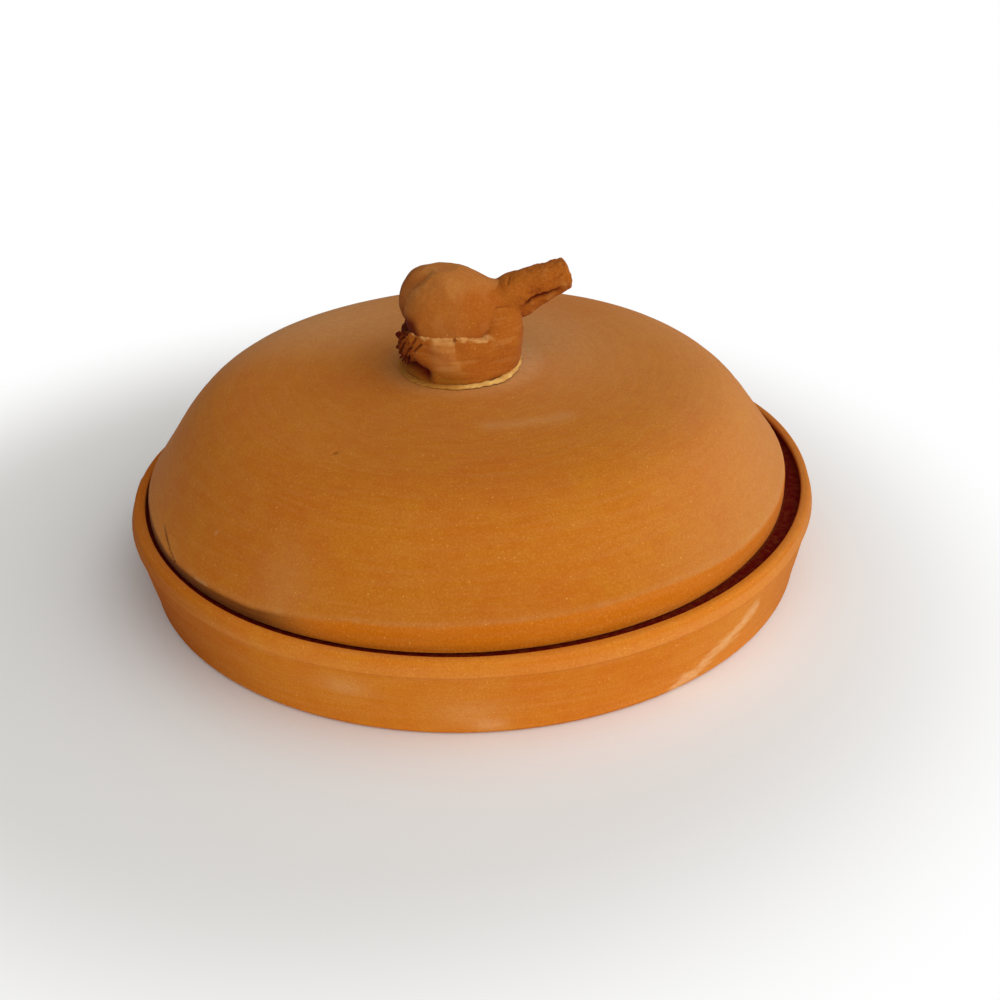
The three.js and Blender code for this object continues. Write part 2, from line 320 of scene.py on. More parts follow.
def outline(corners, turn_rows=7):
    """Outline through corners (radius, height, rounding, rows). A corner is cut off at its rounding and
    bridged with a quadratic curve; rows are laid evenly on the straight run that follows it."""
    spots = place_row([corner[:2] for corner in corners])
    ahead = np.diff(spots, axis=0)
    ahead /= np.linalg.norm(ahead, axis=1)[:, None]
    share = np.linspace(0, 1, turn_rows, endpoint=False)[:, None]
    last = spots[0]
    runs = []
    for k in range(1, len(corners) - 1):
        enter = spots[k] - corners[k][2] * ahead[k - 1]
        leave = spots[k] + corners[k][2] * ahead[k]
        runs.append(np.linspace(last, enter, corners[k - 1][3], endpoint=False))
        runs.append(arch(share, enter, spots[k], leave))
        last = leave
    runs.append(np.linspace(last, spots[-1], corners[-2][3]))
    return np.concatenate(runs)


def round_angles(columns, focus=0.0, squeeze=0.0):
    """Angles of the columns. They lie closer near the focus: u - squeeze * sin(u - focus)."""
    u = np.linspace(-np.pi, np.pi, columns, endpoint=False) + focus
    return u - squeeze * np.sin(u - focus)


def lathe(profile, axis, angles):
    """Grid of a round piece: radius and height of each row, carried round the axis through every angle."""
    radius, height = profile[:, :1], profile[:, 1:]
    return np.stack([
        axis[0] + radius * np.cos(angles),
        axis[1] + radius * np.sin(angles),
        height + 0 * angles,
    ], -1)


def waves(points, length, seed, count=30):
    """Smooth unevenness, mostly between -1 and 1: a sum of plane waves of about one length, each with its
    own seeded direction and phase."""
    draw = np.random.default_rng(seed)
    heading = draw.normal(size=(points.shape[-1], count))
    heading *= 2 * np.pi / (np.linalg.norm(heading, axis=0) * length * draw.uniform(0.7, 1.6, count))
    return np.sin(points @ heading + draw.uniform(0, 2 * np.pi, count)).sum(-1) / math.sqrt(count)


def ringed(grid, axis, reach):
    """Points that turn each ring of a thrown piece into nearly one spot: distance along the outline, and the
    direction from the axis times a small reach. Unevenness on them runs in rings, as turning marks do."""
    away = grid[..., :2] - axis
    angle = np.arctan2(away[..., 1], away[..., 0])
    steps = np.linalg.norm(np.diff(grid[:, 0], axis=0), axis=1)
    along = np.append(0, np.cumsum(steps))[:, None] + 0 * angle
    return np.stack([along, reach * np.cos(angle), reach * np.sin(angle)], -1)


def facing(grid, loop=False):
    """Outward direction at each point: the cross product of the steps along its row and its column."""
    across = np.roll(grid, -1, 1) - np.roll(grid, 1, 1)
    up = np.roll(grid, -1, 0) - np.roll(grid, 1, 0) if loop else np.gradient(grid, axis=0)
    normal = np.cross(across, up)
    return normal / np.maximum(np.linalg.norm(normal, axis=-1, keepdims=True), 1e-9)


def press(grid, depth, loop=False):
    """The grid with every point pressed in by a depth, against the outward direction."""
    return grid - facing(grid, loop) * depth[..., None]


def beside(across, up, path):
    """Distance of points in a flat map to a path of straight legs: the least distance to any leg."""
    near = np.full(np.broadcast(across, up).shape, np.inf)
    for (x0, y0), (x1, y1) in zip(path[:-1], path[1:]):
        leg = (x1 - x0) ** 2 + (y1 - y0) ** 2
        share = np.clip(((across - x0) * (x1 - x0) + (up - y0) * (y1 - y0)) / leg, 0, 1)
        near = np.minimum(near, np.hypot(across - x0 - share * (x1 - x0), up - y0 - share * (y1 - y0)))
    return near


def bump(distance, width):
    """Bell of a distance: 1 on the line, falling off over a width."""
    return np.exp(-(distance / width) ** 2)


def smooth(value, low, high):
    """Smooth step of an array: 0 below low, 1 above high."""
    t = np.clip((value - low) / (high - low), 0, 1)
    return t * t * (3 - 2 * t)


def skin(name, grid, body, slot, node, loop=False, **marks):
    """Mesh of a grid, which rides on a body and stands for a CAD node. Columns join up; rows end in two
    poles closed with fans, or join up too in a loop. marks are values per point, kept as attributes."""
    rows, columns = grid.shape[:2]
    number = np.arange(rows * columns).reshape(rows, columns)
    lower = number if loop else number[:-1]
    upper = np.roll(number, -1, 0) if loop else number[1:]
    quads = np.stack([lower, np.roll(lower, -1, 1), np.roll(upper, -1, 1), upper], -1)
    faces = quads.reshape(-1, 4).tolist()
    points = grid.reshape(-1, 3)
    if not loop:
        points = np.vstack([points, grid[0].mean(0), grid[-1].mean(0)])
        first, last = np.full((2, columns), [[rows * columns], [rows * columns + 1]])
        faces += np.stack([first, np.roll(number[0], -1), number[0]], -1).tolist()
        faces += np.stack([last, number[-1], np.roll(number[-1], -1)], -1).tolist()
    mesh = bpy.data.meshes.new(name)
    mesh.from_pydata((points * MM).tolist(), [], faces)
    mesh.polygons.foreach_set("use_smooth", np.ones(len(faces), bool))
    for mark, values in marks.items():
        values = np.broadcast_to(values, (rows, columns))
        filled = values.reshape(-1) if loop else np.append(values, [values[0].mean(), values[-1].mean()])
        layer = mesh.attributes.new(mark, "FLOAT", "POINT")
        layer.data.foreach_set("value", np.clip(filled, 0, 1).astype(np.float32))
    piece = bpy.data.objects.new(name, mesh)
    scene.collection.objects.link(piece)
    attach(piece, body)
    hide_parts(node)
    print(name, "has", len(points), "points and", len(faces), "faces")
    return piece


print("helpers ready")

# %% [markdown]
# ## Dish
# The dish was thrown on a wheel: a foot, a wall that leans out, a narrow flat-topped lip, and inside it a
# gallery whose ledge carries the lid. One outline carried round the axis makes it. The lip is wider at the
# left, and thin and low at two places behind the lid. Turning marks and a slight wobble only take clay
# away, so the piece stays inside the part's box. Shade is painted dark into the gallery and onto the left
# of the outer wall, a painted sheen makes the right paler, and a brush left a pale streak on the wall at
# the right.

# %% Dish
FOOT_RADIUS = 100.4
FOOT_BEVEL = 1.2
LIP_HEIGHT = 4.6
LIP_WIDTH = 4.0
LIP_LEAN = 1.3
LIP_ROUND = 1.4
LIP_INNER_ROUND = 0.8
LIP_SWELL = 0.7  # how much wider the lip is at the left
LIP_THIN = [(155, 16, 2.8), (44, 13, 2.4)]  # angle, spread and depth where the lip is thin
LIP_DROP = 0.55  # how low it is there, as a share of that depth
CREASE_STEP = 0.5
GALLERY_DEPTH = 2.6
LEDGE_WIDTH = 11
LEDGE_NOSE = 1.6
FLOOR_THICKNESS = 6.8
BASIN_DRAFT = 2.5
BASIN_FILLET = 7
STREAK = [(-57, 2.0), (-53, 4.0), (-50, 7.4), (-45, 11.0), (-40.5, 15.5)]  # angle and height
SCUFFS = [  # angle, height, width and share of pale
    (-108.9, 15.3, 3.4, 0.4), (-90.9, 8.0, 4.5, 0.3), (-87.6, 3.4, 2.2, 0.55),
]
OUTSIDE = (96, 98.5)  # distances from the axis over which the outer wall's marks set in
DISH_COLUMNS = 360
gallery = rim_radius - LIP_WIDTH
ledge = dish_height - GALLERY_DEPTH
crease = dish_height - LIP_HEIGHT


def throw_dish():
    """Dish = outline round the axis, whose lip is moved in by functions of the angle, pressed in by fine
    turning marks and a slow wobble. Its painted shade in the gallery is a smooth step of the depth there,
    its streak one of the distance to the brushed path."""
    profile = outline([
        (POLE, 0, 0, 12),
        (FOOT_RADIUS - FOOT_BEVEL, 0, 0.4, 3),
        (FOOT_RADIUS, FOOT_BEVEL, 0.5, 44),
        (rim_radius - CREASE_STEP, crease - CREASE_STEP, 0.3, 2),
        (rim_radius, crease, 0.25, 12),
        (rim_radius - LIP_LEAN, dish_height, LIP_ROUND, 6),
        (gallery, dish_height, LIP_INNER_ROUND, 4),
        (gallery, ledge, 0.7, 16),
        (gallery - LEDGE_WIDTH, ledge, LEDGE_NOSE, 16),
        (gallery - LEDGE_WIDTH - BASIN_DRAFT, FLOOR_THICKNESS, BASIN_FILLET, 22),
        (POLE, FLOOR_THICKNESS, 0, 0),
    ])
    angles = round_angles(DISH_COLUMNS)
    grid = lathe(profile, (0, 0), angles)
    ring, level = profile[:, :1], profile[:, 1:]
    swell = smooth(ring, gallery - 3, gallery - 0.5) * smooth(-ring, -gallery - 1.6, -gallery)
    inward = swell * (level > crease) * LIP_SWELL * smooth(-np.cos(angles), 0.5, 1.0)
    thin = sum(depth * bump(np.degrees(angles) - middle, spread) for middle, spread, depth in LIP_THIN)
    lip_inside = gallery + LIP_INNER_ROUND
    inward = inward + thin * np.clip((ring - lip_inside) / (rim_radius - lip_inside), 0, 1)
    drop = LIP_DROP * thin * smooth(level, ledge + 0.3, dish_height)
    grid -= np.stack([inward * np.cos(angles), inward * np.sin(angles), drop], -1)
    rings = ringed(grid, (0, 0), 4)
    height, away = level + 0 * angles, ring + 0 * angles
    standing = smooth(height, 0.6, 3)
    marks = 0.03 * (1 + waves(rings, 2.2, 1)) + 0.03 * (1 + waves(rings, 7, 2))
    marks = marks + 0.10 * (1 + waves(grid, 45, 3))
    grid = press(grid, np.maximum(marks, 0) * standing)
    arc = angles * rim_radius + 0 * height
    outer = smooth(away, *OUTSIDE)
    wall = outer * (height < crease + 3)
    scuffs = sum(
        share * bump(np.hypot((arc - math.radians(turn) * rim_radius) * 0.5, height - z), width)
        for turn, z, width, share in SCUFFS
    )
    path = [(math.radians(a) * rim_radius, z) for a, z in STREAK]
    hairs = waves(np.stack([arc * 0.35 + height * 0.35, arc - height], -1), 1.6, 4)
    streak = smooth(-beside(arc, height, path) + 0.9 * hairs, -3.4, -0.6)
    rub = smooth(away, 104.0, 104.7) * smooth(height, crease - 1.5, crease + 0.5)
    inside = np.arange(len(profile))[:, None] > profile[:, 1].argmax() + 6
    right = np.cos(angles) + 0 * height
    # painted shade: the gallery's ledge and its wall at the right, which lie in the rim's shadow, are
    # darkened
    shade_wall = smooth(-height, -dish_height + 0.5, -ledge - 0.9) * smooth(right, -0.75, 0.3)
    shade_ledge = smooth(-height, -ledge - 0.8, -ledge - 0.1)
    painted_gallery_shade = inside * smooth(away, gallery - 9, gallery - 4) * np.maximum(shade_wall, shade_ledge)
    # painted sheen: the right of the lip and of the outer wall, towards the light, is made paler
    painted_sheen = 0.14 * smooth(right, 0.75, 1.0) * (height > crease) + 0.16 * smooth(right, 0.4, 0.95) * wall
    pale = (scuffs + 0.85 * streak) * wall + 0.1 * rub + painted_sheen
    # painted shade: the left of the outer wall, the side away from the light, gets the warm dark tone
    shadow_side = smooth(-right, 0.45, 0.9) * outer * (1 - 0.35 * smooth(height, crease + 1.5, crease + 4))
    # the right of the outer wall is made a little darker
    dull = 0.24 * smooth(right, 0.7, 1.0) * outer
    return skin(
        "clay_dish", grid, "dish", "dish_terracotta", "dish",
        pale=pale, dark=painted_gallery_shade + dull * (1 - painted_gallery_shade), warm=shadow_side,
    )


dish = throw_dish()

# %% [markdown]
# ## Lid
# The lid is a hollow dome with a leaning band, a soft shoulder line and a nearly flat crown. It rests
# loose in the gallery, a little to the back. Inside and outside are one outline. The shoulder line sags at
# the sides, most at the left, and the edge isn't quite round. The columns lie closer at the left, where the
# flank has a gouge, so that its edge is real geometry. Dried slip makes the crown paler round the knob.

# %% Lid
LID_BAND_HEIGHT = 6.9
LID_BAND_TAPER = 1.4
LID_WALL = 6
SHOULDER_ROUND = 1.5
SAG = [  # angle, and how far the flank runs on below the shoulder line there
    (-180, 2.4), (-164, 2.6), (-150, 3.6), (-126, 3.2), (-108, 0.5), (-92, 0), (-58, 0), (-40, 1.2),
    (90, 0.8), (180, 2.4),
]
SPLAY = [  # angle, and how far the edge reaches out there
    (-180, 0.5), (-150, 0.8), (-52, 0.8), (-38, 0.1), (-17, -0.6), (90, -0.6), (180, 0.5),
]
FLANK_LEAN = math.radians(35)
FLANK_PULL = 1.16
CROWN_PULL = 0.866
GOUGE = [(-154.8, 31.2), (-150.0, 29.0), (-146.3, 27.4)]  # angle and height of the gouge's sharp side
CHIPS = (-139.4, -136.3)  # angles between which the shoulder is chipped pale
CHIP_MAP = 97  # radius on which the chips are unrolled
SMEAR = [(-80, 41.5), (-70, 42.5), (-60, 44.0), (-50, 46.0)]  # angle and radius of the brushed smear
SMEAR_MAP = 44  # radius on which it is unrolled
PIT = (-124.6, 62, 0.6)  # angle, radius, width
PATCH = (-121.3, 95, 35, 9)  # angle, radius, height, width of a pale patch
SPECK = (-138.9, 91, 39.3, 0.5)  # the same of a pale speck
LID_COLUMNS = 380
shoulder = lid_edge + LID_BAND_HEIGHT
shoulder_radius = lid_radius - LID_BAND_TAPER


def dome_line(radius, top):
    """Half of the dome: a cubic curve from the shoulder up the leaning flank to a level crown."""
    pull = FLANK_PULL * (top - shoulder)
    return bezier([
        (radius, shoulder),
        (radius - pull * math.sin(FLANK_LEAN), shoulder + pull * math.cos(FLANK_LEAN)),
        (CROWN_PULL * radius, top),
        (0, top),
    ], 400)


def throw_lid():
    """Lid = inside line, seating edge, band and dome in one outline round the lid's axis, let down and pushed
    out by the two lists over the angle, then pressed in by turning marks, a wobble, the gouge and a pit. Its
    colour marks are bells and steps of distances on the unrolled surface."""
    inside = even(dome_line(shoulder_radius - LID_WALL, crown - LID_WALL)[::-1], 50)
    inside = inside[inside[:, 0] > POLE]
    outside = even(dome_line(shoulder_radius, crown), 150, 1.5)
    outside = outside[(outside[:, 0] > POLE) & (outside[:, 1] > shoulder + 1.5)]
    band = outline([
        (*inside[-1], 0, 6),
        (lid_radius - LID_WALL, lid_edge, 0.6, 6),
        (lid_radius, lid_edge, 0.8, 16),
        (shoulder_radius, shoulder, SHOULDER_ROUND, 3),
        (*outside[0], 0, 0),
    ])
    profile = np.concatenate([inside[:-1], band, outside[1:]])
    angles = round_angles(LID_COLUMNS, math.radians(-148), 0.78)
    height = profile[:, 1:] + 0 * angles
    radius = profile[:, :1] + 0 * angles
    outer = (np.arange(len(profile))[:, None] >= len(inside) + 6) & (height > lid_edge + 0.4)
    grid = lathe(profile, lid_axis, angles)
    degrees = (np.degrees(angles) + 180) % 360 - 180 + 0 * height
    drop, reach = [np.interp(degrees, *place_row(pairs).T) for pairs in (SAG, SPLAY)]
    up_band = np.clip((height - lid_edge) / LID_BAND_HEIGHT, 0, 1)
    hang = np.where(height > shoulder, bump(height - shoulder, 5.0), up_band) * drop * outer
    push = math.tan(FLANK_LEAN) * hang + reach * (1 - up_band) * (radius > lid_radius - 3)
    grid += np.stack([push * np.cos(angles), push * np.sin(angles), -hang], -1)
    low = grid[..., 2].copy()
    rings = ringed(grid, lid_axis, 4)
    arc = np.radians(degrees) * lid_radius
    marks = 0.03 * (1 + waves(rings, 2.0, 11)) + 0.03 * (1 + waves(rings, 8, 12))
    marks = marks + 0.12 * (1 + waves(grid, 50, 13))
    sharp = np.interp(-low, [-z for _, z in GOUGE], [math.radians(a) * lid_radius for a, _ in GOUGE])
    left = sharp - arc
    tall = smooth(low, 26.6, 28) * smooth(-low, -32, -30)
    facet = np.where(left > -0.5, np.exp(-np.maximum(left, 0) / 3.2) * smooth(left, -0.5, 0.25), 0) * tall
    pit = bump(np.hypot(np.radians(degrees - PIT[0]) * radius, radius - PIT[1]), PIT[2])
    grid = press(grid, (np.maximum(marks, 0) + 0.5 * facet + 0.6 * pit) * outer)
    away = grid[..., :2] - knob_axis
    from_knob = np.hypot(away[..., 0], away[..., 1])
    rightward = 0.5 + 0.5 * np.cos(np.arctan2(away[..., 1], away[..., 0]) - math.radians(45))
    top = (height > shoulder + 10) & outer
    halo = (0.25 + 0.4 * rightward) * smooth(-from_knob, -28, -19)
    halo = halo + 0.6 * rightward ** 2 * smooth(-from_knob, -66, -24)
    # painted sheen: the back of the dome, most at the back left, and its right and left edges are made paler
    painted_sheen = (0.2 + 0.55 * smooth(-away[..., 0], 0, 50)) * smooth(away[..., 1], -5, 45)
    painted_sheen = painted_sheen + 0.4 * smooth(away[..., 0], 35, 98) + 0.2 * smooth(-away[..., 0], 75, 99)
    smear_path = [(math.radians(a) * SMEAR_MAP, r) for a, r in SMEAR]
    smear = bump(beside(np.radians(degrees) * SMEAR_MAP, radius, smear_path), 2.6)
    patch, speck = [
        bump(np.hypot(np.radians(degrees - turn) * ring, low - z), width)
        for turn, ring, z, width in (PATCH, SPECK)
    ]
    chip_path = [(math.radians(a) * CHIP_MAP, shoulder + 0.1) for a in CHIPS]
    chips = bump(beside(np.radians(degrees) * CHIP_MAP, height, chip_path), 0.4)
    rubbed = smooth(waves(np.stack([arc, 0 * arc], -1), 6, 14), 0.7, 1.4)
    # edge wear, and a painted highlight along the shoulder line
    wear_and_highlight = bump(height - shoulder - 0.6, 0.8) * (1 + rubbed)
    band_side = smooth(-height, -shoulder - 0.9, -shoulder + 0.7)
    spots = painted_sheen * (1 - band_side) + 0.2 * patch + 0.9 * speck + chips + 0.15 * wear_and_highlight
    pale = (halo + 0.3 * smear) * top + spots * outer
    # painted shade: the gouge's sharp side, the pit and the band where the flank hangs over it are darkened
    cut = bump(left - 0.1, 0.7 + 0.6 * smooth(low, 28, 30)) * tall
    dark = (0.95 * cut + 0.6 * pit + 0.6 * smooth(drop, 1.2, 3.2) * band_side) * outer
    warm = band_side * (1 - smooth(drop, 1.2, 3.2)) * outer
    return skin("clay_lid", grid, "lid", "lid_terracotta", "lid_dome", pale=pale, dark=dark, warm=warm)


lid = throw_lid()

# %% [markdown]
# ## Garlic bulb
# The knob is the potter's showpiece: a garlic bulb lying on its side with its stem to the right. The bulb
# is a round belly drawn in to a neck, with sharp valleys between its cloves that meet at the root, low at
# the left. It is a radius along the bulb's own axis, and the valleys are pressed in along the surface.

# %% Bulb
BULB_RADIUS = 15.7
BULB_HEIGHT = 16.3
BULB_OFFSET_X = -2
BULB_TILT = math.radians(16.5)
BULB_TURN = math.radians(8)
ROOT_DIMPLE = 1.6
ROOT_FULLNESS = 0.72
ROOT_DROP = 1.08
BELLY_FULLNESS = 0.5
SHOULDER_FULLNESS = 0.55
NECK_DRAW = 0.7
NECK_RADIUS = 6.6
NECK_LENGTH = 16.5
NECK_TIP = 4.5  # the neck runs out inside the stem
CLOVE_VALLEYS = np.radians([6, 118, -98, 186])  # from the top towards the front
VALLEY_OUT = np.array([1, 12.5, 12.5, 12.5])  # along the axis, where a valley has run out
VALLEY_FULL = np.array([-7, 2, 2, 2])  # and where it has its full depth
VALLEY_DEPTH = 3.0
ROOT_FRONT = 0.4  # the cloves meet this far in front of the axis
ROOT_LOW = 1.0  # and this far below it
bulb_middle = np.array([knob_axis[0] + BULB_OFFSET_X, knob_axis[1], crown + BULB_HEIGHT])
to_back = np.array([-math.sin(BULB_TURN), math.cos(BULB_TURN), 0])
to_stem = np.array([
    math.cos(BULB_TILT) * math.cos(BULB_TURN), math.cos(BULB_TILT) * math.sin(BULB_TURN), math.sin(BULB_TILT),
])
to_top = np.cross(to_stem, to_back)


def bulb_line():
    """Half outline of the bulb (distance along its axis, radius): root dimple, belly, then the neck."""
    belly = bezier([
        (ROOT_DIMPLE - BULB_RADIUS, 0),
        (-BULB_RADIUS * ROOT_DROP, BULB_RADIUS * ROOT_FULLNESS),
        (-BULB_RADIUS * BELLY_FULLNESS, BULB_RADIUS),
        (0, BULB_RADIUS),
    ])
    neck = bezier([
        (0, BULB_RADIUS),
        (NECK_LENGTH * SHOULDER_FULLNESS, BULB_RADIUS),
        (NECK_LENGTH * NECK_DRAW, NECK_RADIUS),
        (NECK_LENGTH, NECK_TIP),
    ])
    return np.concatenate([belly, neck[1:]])


def round_axis(along, radius, angle):
    """Points round the bulb's axis: angle 0 is the top and grows towards the front."""
    up = radius * np.cos(angle)
    front = radius * np.sin(angle)
    return (
        bulb_middle + along[..., None] * to_stem
        + up[..., None] * to_top - front[..., None] * to_back
    )


def model_bulb():
    """Bulb = radius along the axis carried round it, pressed in by valleys whose depth is a sharp and a wide
    fall-off of the distance to the valley, steeper to the front, by finger dents, a flat top and the hollow
    at the root; the lobe at the back is fuller, and is cut level where it would leave the part's box."""
    line = even(bulb_line(), 140)[2:]
    angle = round_angles(260)
    along, radius = line[:, :1] + 0 * angle, line[:, 1:] + 0 * angle
    grid = round_axis(along, radius, angle)
    bend = np.clip(-along / BULB_RADIUS, 0, 1) ** 2
    up = radius * np.cos(angle) + ROOT_LOW * bend
    front = radius * np.sin(angle) - ROOT_FRONT * bend
    turn = np.arctan2(front, up)
    out = np.hypot(up, front)
    apart = ((turn[..., None] - CLOVE_VALLEYS + np.pi) % (2 * np.pi) - np.pi) * out[..., None]
    fade = smooth(-along[..., None], -VALLEY_OUT, -VALLEY_FULL)
    off = np.sqrt((apart * np.where(apart > 0, 1.3, 1.0)) ** 2 + 0.03)
    valley = ((0.5 * np.exp(-off / 0.9) + 0.5 * np.exp(-off / 4.5)) * fade).max(-1)
    front_lobe, run = apart[..., 0], fade[..., 0]
    dents = 0.14 * waves(grid, 9, 21) + 0.05 * waves(grid, 3.2, 22) + 0.02 * waves(grid, 1.4, 23)
    root = smooth(-along, 9.8, 12.4) * smooth(-radius * np.cos(angle), -8.5, -5)
    root = root * smooth(radius * np.sin(angle), 2, 6)
    full = bump(along + 7, 6.0) * smooth(np.cos(angle), 0.0, 0.9) * smooth(-front_lobe, 0.6, 3.6)
    flat = bump(along - 4.5, 4.5) * smooth(np.cos(angle), 0.6, 0.95)
    hollow = bump(out, 4.5) * smooth(-along, 6, 10)
    grid = press(grid, VALLEY_DEPTH * valley + dents - 1.4 * full + 0.8 * flat + 1.2 * hollow)
    grid[..., 2] = np.minimum(grid[..., 2], highest)
    # painted highlight: a pale line along the front clove's edge
    pale = bump(front_lobe - 1.0, 0.5) * run + 0.12 * smooth(waves(grid, 8, 24), 0.3, 1.2)
    # painted sheen: the top of the bulb is paler; the front is a little paler too
    pale = pale + 0.25 * smooth(np.cos(angle), 0.5, 0.95)
    pale = pale + 0.1 * smooth(np.sin(angle), 0.5, 0.95) * smooth(-along, -6, 0)
    # painted shade: the valley in front, the root and the back lobe towards the root are darkened
    behind = smooth(-front_lobe, 0, 1.5) * smooth(-along, 2, 9)
    dark = 0.3 * bump(front_lobe + 0.1, 0.6) * run + 0.9 * root + 0.4 * behind
    return skin("garlic_bulb_clay", grid, "lid", "knob_terracotta", "garlic_bulb", pale=pale, dark=dark)


bulb = model_bulb()

# %% [markdown]
# ## Stem
# The stem is a rough stub of clay: it grows out of the bulb's neck, hangs low over the base, has a deep
# cleft along its front and a blunt end. Its section reaches differently far up, down and to the front,
# so the radius is worked out from a list of these reaches, and at the neck it slips under the bulb's surface.

# %% Stem
STEM_START = 9.5
STEM_END = 36.4
STEM_LINE = [  # along the axis, reach up, reach down, reach to the front
    (9.5, 10.2, 10.7, 10.4), (11.0, 8.7, 10.05, 9.0), (12.5, 6.9, 9.55, 8.05), (14.0, 5.4, 9.3, 7.35),
    (15.5, 4.5, 9.1, 6.95), (16.6, 4.8, 9.0, 6.8), (17.6, 5.3, 8.95, 6.65), (21.0, 5.2, 8.7, 6.2),
    (23.8, 5.1, 7.7, 5.8), (27.7, 4.8, 6.9, 5.4), (33.0, 4.4, 5.7, 4.9), (36.4, 4.0, 5.1, 4.5),
]
CLEFT = [(19.5, 130), (21.5, 117), (24.0, 112), (28.0, 117), (32.0, 122)]  # along, degrees from the top
CREASES = [  # along and degrees at both ends, depth
    ((19.6, 12), (18.2, 42), 0.4), ((31.5, 80), (34.4, 73), 0.3), ((12.8, 92), (14.4, 99), 0.3),
    ((14.9, 102), (15.9, 103), 0.25), ((14.0, 113), (16.0, 118), 0.3),
]
STEM_MAP = 5.5  # radius on which the stem is unrolled
STEM_ROWS = 150
END_ROWS = 24  # that close the blunt end


def stem_section(along, angle):
    """Radius of the stem's section: an oval, quarter by quarter, from the reaches up or down and to the
    front, each a mean over a short stretch of the list."""
    knots = place_row(STEM_LINE)
    nearby = along[..., None] + np.linspace(-0.9, 0.9, 5)
    up, down, front = [np.interp(nearby, knots[:, 0], knots[:, k]).mean(-1) for k in (1, 2, 3)]
    tall = np.where(np.cos(angle) > 0, up, down)
    return 1 / np.hypot(np.cos(angle) / tall, np.sin(angle) / front)


def model_stem():
    """Stem = its section along the axis, which starts under the bulb's surface, pressed in by lumps, by the
    cleft, steep above and gentle below, and by a few creases; rows close over the blunt end."""
    wall = np.linspace(STEM_START, STEM_END, STEM_ROWS)
    closing = np.append(np.ones(STEM_ROWS), np.linspace(1, 0.1, END_ROWS))[:, None]
    along = np.append(wall, np.full(END_ROWS, STEM_END))[:, None]
    angle = round_angles(240)
    radius = stem_section(along, angle) * closing
    along = along + 0.9 * np.sqrt(1 - closing ** 4) + 0 * angle
    grid = round_axis(along, radius, angle)
    degrees = np.degrees(angle) + 0 * along
    cleft_at = np.interp(along, [s for s, _ in CLEFT], [d for _, d in CLEFT])
    below = np.radians(degrees - cleft_at) * radius + 0.22 * waves(grid, 2.2, 37)
    opened = smooth(along, 19.5, 23) * smooth(-along, -33.5, -30.5)
    cleft = np.exp(-np.abs(below) / np.where(below < 0, 0.4, 1.7)) * opened
    unrolled = np.radians(degrees) * STEM_MAP
    creases = [
        (bump(beside(along, unrolled, [(s, math.radians(d) * STEM_MAP) for s, d in ends]), 0.35), depth)
        for *ends, depth in CREASES
    ]
    lumps = 0.2 * waves(grid, 7.0, 34) + 0.11 * waves(grid, 3.0, 33) + 0.05 * waves(grid, 1.2, 32)
    rough = smooth(along, 16, 20)
    grid = press(grid, lumps * rough + 1.9 * cleft + sum(depth * line for line, depth in creases))
    end = smooth(along, STEM_END - 2.5, STEM_END)
    grid = grid - to_stem * (end * (0.7 + 0.5 * waves(grid, 5.0, 35)))[..., None]
    grid[..., 2] = np.minimum(grid[..., 2], highest)
    broken = smooth(waves(grid, 1.1, 36), -0.8, 0.8)
    # painted shade: the cleft, the creases and the hollows between the lumps are darkened; the blunt end has
    # dark patches
    dark = bump(below - 0.3, 0.9) * opened + 0.45 * broken * sum(line for line, _ in creases)
    dark = dark + 0.25 * smooth(lumps * rough, 0.12, 0.36) + 0.3 * end * smooth(waves(grid, 3.0, 38), 0, 1)
    # painted highlight: lumps that stand out are paler
    pale = 0.25 * smooth(-lumps * rough, 0.1, 0.4)
    return skin("garlic_stem_clay", grid, "lid", "knob_terracotta", "garlic_stem", pale=pale, dark=dark)


stem = model_stem()

# %% [markdown]
# ## Base of the knob
# The bulb was pressed into a bun of clay, whose thin upper edge dried pale and ragged against the bulb. To
# the right it flares out under the stem. Its radius is a function of the direction and the height; where it
# meets the bulb it needs the bulb's own reach, which a bisection finds for the whole grid at once.

# %% Base
BASE_FOOT = 17.0
BASE_MAP = 18  # radius on which the base is unrolled
SEAM = 15.0  # height of the ragged edge above the crown
SEAM_SKIN = 0.5  # thickness of the edge over the bulb
SEAM_FALLS = (4.5, 2.0)  # how much lower it runs at the left and at the right
SEAM_NOTCHES = [(-94.5, 1.3, 0.45), (-75, 0.4, 0.3)]  # degrees, depth, width
STEM_FLARE = 18.9  # reach under the stem
FLARE_DIP = 3.6  # how far under the seam the flare starts to curve in
FLARE_RISE = 4.6  # how far over the seam it meets the stem
FILLET_RISE = 2.8  # how far the fillet runs on up the stem
UNDERCUT = [(-162, 5.0), (-147, 4.6), (-138.4, 4.2), (-127, 3.1)]  # degrees, height
SLASHES = [[(-142.2, 9.9), (-134.2, 14.0)], [(-136.6, 9.8), (-127.9, 12.5)]]


def round_knob(radius, angle, height):
    """Points round the knob's upright axis, at a distance, a direction and a height above the crown."""
    return np.stack([
        knob_axis[0] + radius * np.cos(angle),
        knob_axis[1] + radius * np.sin(angle),
        crown + height + 0 * radius,
    ], -1)


def knob_reach(angle, height, with_stem=False):
    """Distance from the knob's axis to the bulb's surface, or to the bulb's and the stem's, in each direction
    and height: bisection between the axis, which lies in the bulb, and a far point."""
    line = bulb_line()[6:]
    low = np.zeros(np.broadcast(angle, height).shape)
    high = low + 2 * BULB_RADIUS
    for _ in range(30):
        middle = (low + high) / 2
        spot = round_knob(middle, angle, height) - bulb_middle
        along = spot @ to_stem
        rest = spot - along[..., None] * to_stem
        off = np.linalg.norm(rest, axis=-1)
        inside = off < np.interp(along, line[:, 0], line[:, 1], left=0, right=0)
        if with_stem:
            around = np.arctan2(-(rest @ to_back), rest @ to_top)
            inside |= (along > STEM_START) & (off < stem_section(along, around))
        low, high = np.where(inside, middle, low), np.where(inside, high, middle)
    return low


